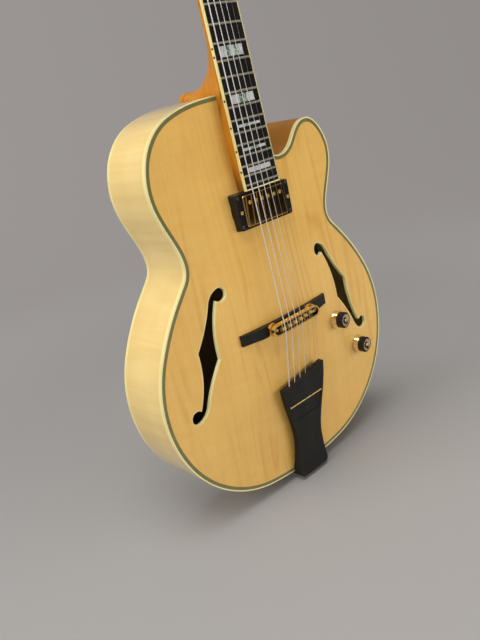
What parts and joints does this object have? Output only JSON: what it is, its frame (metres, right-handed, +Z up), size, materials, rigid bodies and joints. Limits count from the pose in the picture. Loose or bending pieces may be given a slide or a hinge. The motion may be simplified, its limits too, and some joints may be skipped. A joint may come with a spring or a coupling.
{
  "type": "archtop guitar",
  "caption": "Hollow archtop guitar with a rounded cutaway, f-holes, floating bridge, hinged tailpiece, one pickup, two knobs and turning tuners.",
  "frame": {"origin": "where the end pin meets the rim: on the centre line, at the tail, halfway through the rim's depth", "axes": "+Z up the body's centre line to the neck, +X to the treble side, +Y to the back (the top faces -Y)"},
  "size_m": [0.4045, 0.1287, 1.0391],
  "materials": {
    "carved_top": "gloss lacquer",
    "maple_body": "gloss lacquer",
    "maple_neck": "gloss lacquer",
    "inner_wood": "bare",
    "cream_binding": "gloss",
    "purfling": "gloss",
    "ebony": "satin",
    "fret_metal": "polished",
    "pearl": "iridescent",
    "abalone": "iridescent",
    "bone": "satin",
    "steel": "bright",
    "wound_steel": "wound",
    "black_plastic": "gloss",
    "gold": "plated",
    "pot_metal": "bare"
  },
  "bodies": {
    "instrument": {"abalone_inlays": "abalone", "back_binding": "cream_binding", "back_plate": "maple_body", "bridge_base": "ebony", "bridge_posts": "gold", "end_pin": "gold", "f_hole_bindings": "cream_binding", "fingerboard": "ebony", "fingerboard_binding": "cream_binding", "frets": "fret_metal", "headstock_veneer": "ebony", "heel_cap": "maple_neck", "neck": "maple_neck", "neck_block": "inner_wood", "nut": "bone", "output_jack": "gold", "pearl_inlays": "pearl", "pickup_ring": "black_plastic", "plain_strings": "steel", "pots": "pot_metal", "rim_bass": "maple_body", "rim_cutaway": "maple_body", "rim_treble": "maple_body", "tail_block": "inner_wood", "tailpiece": "ebony", "tailpiece_hinge": "gold", "tailpiece_inlay": "gold", "tone_bars": "inner_wood", "top_binding": "cream_binding", "top_plate": "carved_top", "top_purfling": "purfling", "truss_rod": "steel", "truss_rod_cover": "black_plastic", "tuner_bushings": "gold", "tuner_housings": "gold", "wound_strings": "wound_steel"},
    "tuner_button_1": {"tuner_button_1": "gold"},
    "tuner_post_1": {"tuner_post_1": "gold"},
    "tuner_button_2": {"tuner_button_2": "gold"},
    "tuner_post_2": {"tuner_post_2": "gold"},
    "tuner_button_3": {"tuner_button_3": "gold"},
    "tuner_post_3": {"tuner_post_3": "gold"},
    "tuner_button_4": {"tuner_button_4": "gold"},
    "tuner_post_4": {"tuner_post_4": "gold"},
    "tuner_button_5": {"tuner_button_5": "gold"},
    "tuner_post_5": {"tuner_post_5": "gold"},
    "tuner_button_6": {"tuner_button_6": "gold"},
    "tuner_post_6": {"tuner_post_6": "gold"},
    "volume_knob": {"volume_knob": "gold", "volume_knob_grip": "black_plastic"},
    "tone_knob": {"tone_knob": "gold", "tone_knob_grip": "black_plastic"},
    "bridge": {"bridge_frame": "gold", "saddles": "gold"},
    "thumbwheel_bass": {"thumbwheel_bass": "gold"},
    "thumbwheel_treble": {"thumbwheel_treble": "gold"},
    "pickup": {"pickup_cover": "gold", "pickup_core": "black_plastic"},
    "pickup_height_screw_bass": {"pickup_height_screw_bass": "gold"},
    "pickup_height_screw_treble": {"pickup_height_screw_treble": "gold"}
  },
  "joints": [
    {"name": "tuner_button_1", "type": "hinge", "parent": "instrument", "child": "tuner_button_1", "pos_m": [0.03222, 0.00118, 0.89118], "axis": [1, 0, 0], "continuous": true},
    {"name": "tuner_post_1", "type": "hinge", "parent": "instrument", "child": "tuner_post_1", "pos_m": [0.02222, -0.01864, 0.89307], "axis": [0, -0.956, 0.2932], "continuous": true},
    {"name": "tuner_button_2", "type": "hinge", "parent": "instrument", "child": "tuner_button_2", "pos_m": [0.0341, 0.01496, 0.93611], "axis": [1, 0, 0], "continuous": true},
    {"name": "tuner_post_2", "type": "hinge", "parent": "instrument", "child": "tuner_post_2", "pos_m": [0.0241, -0.00486, 0.93801], "axis": [0, -0.956, 0.2932], "continuous": true},
    {"name": "tuner_button_3", "type": "hinge", "parent": "instrument", "child": "tuner_button_3", "pos_m": [0.03598, 0.02874, 0.98105], "axis": [1, 0, 0], "continuous": true},
    {"name": "tuner_post_3", "type": "hinge", "parent": "instrument", "child": "tuner_post_3", "pos_m": [0.02598, 0.00892, 0.98294], "axis": [0, -0.956, 0.2932], "continuous": true},
    {"name": "tuner_button_4", "type": "hinge", "parent": "instrument", "child": "tuner_button_4", "pos_m": [-0.03598, 0.02874, 0.98105], "axis": [-1, 0, 0], "continuous": true},
    {"name": "tuner_post_4", "type": "hinge", "parent": "instrument", "child": "tuner_post_4", "pos_m": [-0.02598, 0.00892, 0.98294], "axis": [0, -0.956, 0.2932], "continuous": true},
    {"name": "tuner_button_5", "type": "hinge", "parent": "instrument", "child": "tuner_button_5", "pos_m": [-0.0341, 0.01496, 0.93611], "axis": [-1, 0, 0], "continuous": true},
    {"name": "tuner_post_5", "type": "hinge", "parent": "instrument", "child": "tuner_post_5", "pos_m": [-0.0241, -0.00486, 0.93801], "axis": [0, -0.956, 0.2932], "continuous": true},
    {"name": "tuner_button_6", "type": "hinge", "parent": "instrument", "child": "tuner_button_6", "pos_m": [-0.03222, 0.00118, 0.89118], "axis": [-1, 0, 0], "continuous": true},
    {"name": "tuner_post_6", "type": "hinge", "parent": "instrument", "child": "tuner_post_6", "pos_m": [-0.02222, -0.01864, 0.89307], "axis": [0, -0.956, 0.2932], "continuous": true},
    {"name": "volume_knob", "type": "hinge", "parent": "instrument", "child": "volume_knob", "pos_m": [0.097, -0.04641, 0.17752], "axis": [0.1126, -0.9936, -0.005], "range_deg": [-150, 150]},
    {"name": "tone_knob", "type": "hinge", "parent": "instrument", "child": "tone_knob", "pos_m": [0.13921, -0.04097, 0.12278], "axis": [0.0736, -0.9968, -0.0299], "range_deg": [-150, 150]},
    {"name": "bridge_height", "type": "slide", "parent": "instrument", "child": "bridge", "axis": [0, -1, 0], "range_m": [-0.001, 0.002], "deforming": ["plain_strings", "wound_strings"]},
    {"name": "thumbwheel_bass", "type": "hinge", "parent": "bridge", "child": "thumbwheel_bass", "pos_m": [-0.034, -0.06025, 0.217], "axis": [0, -1, 0], "range_deg": [-530, 1050]},
    {"name": "thumbwheel_treble", "type": "hinge", "parent": "bridge", "child": "thumbwheel_treble", "pos_m": [0.034, -0.06025, 0.217], "axis": [0, -1, 0], "range_deg": [-530, 1050]},
    {"name": "pickup_height", "type": "slide", "parent": "instrument", "child": "pickup", "axis": [0, -1, 0], "range_m": [-0.0015, 0.0015]},
    {"name": "pickup_height_screw_bass", "type": "hinge", "parent": "instrument", "child": "pickup_height_screw_bass", "pos_m": [-0.039, -0.05575, 0.36572], "axis": [0, -1, 0], "range_deg": [-1100, 1100]},
    {"name": "pickup_height_screw_treble", "type": "hinge", "parent": "instrument", "child": "pickup_height_screw_treble", "pos_m": [0.039, -0.05575, 0.36572], "axis": [0, -1, 0], "range_deg": [-1100, 1100]}
  ],
  "couplings": [
    {"joint": "tuner_post_1", "follows": "tuner_button_1", "ratio": 0.0625},
    {"joint": "tuner_post_2", "follows": "tuner_button_2", "ratio": 0.0625},
    {"joint": "tuner_post_3", "follows": "tuner_button_3", "ratio": 0.0625},
    {"joint": "tuner_post_4", "follows": "tuner_button_4", "ratio": 0.0625},
    {"joint": "tuner_post_5", "follows": "tuner_button_5", "ratio": 0.0625},
    {"joint": "tuner_post_6", "follows": "tuner_button_6", "ratio": 0.0625},
    {"joint": "thumbwheel_bass", "follows": "bridge_height", "rad_per_m": 8976},
    {"joint": "thumbwheel_treble", "follows": "bridge_height", "rad_per_m": 8976},
    {"joint": "pickup_height_screw_bass", "follows": "pickup_height", "rad_per_m": -12566},
    {"joint": "pickup_height_screw_treble", "follows": "pickup_height", "rad_per_m": -12566}
  ]
}
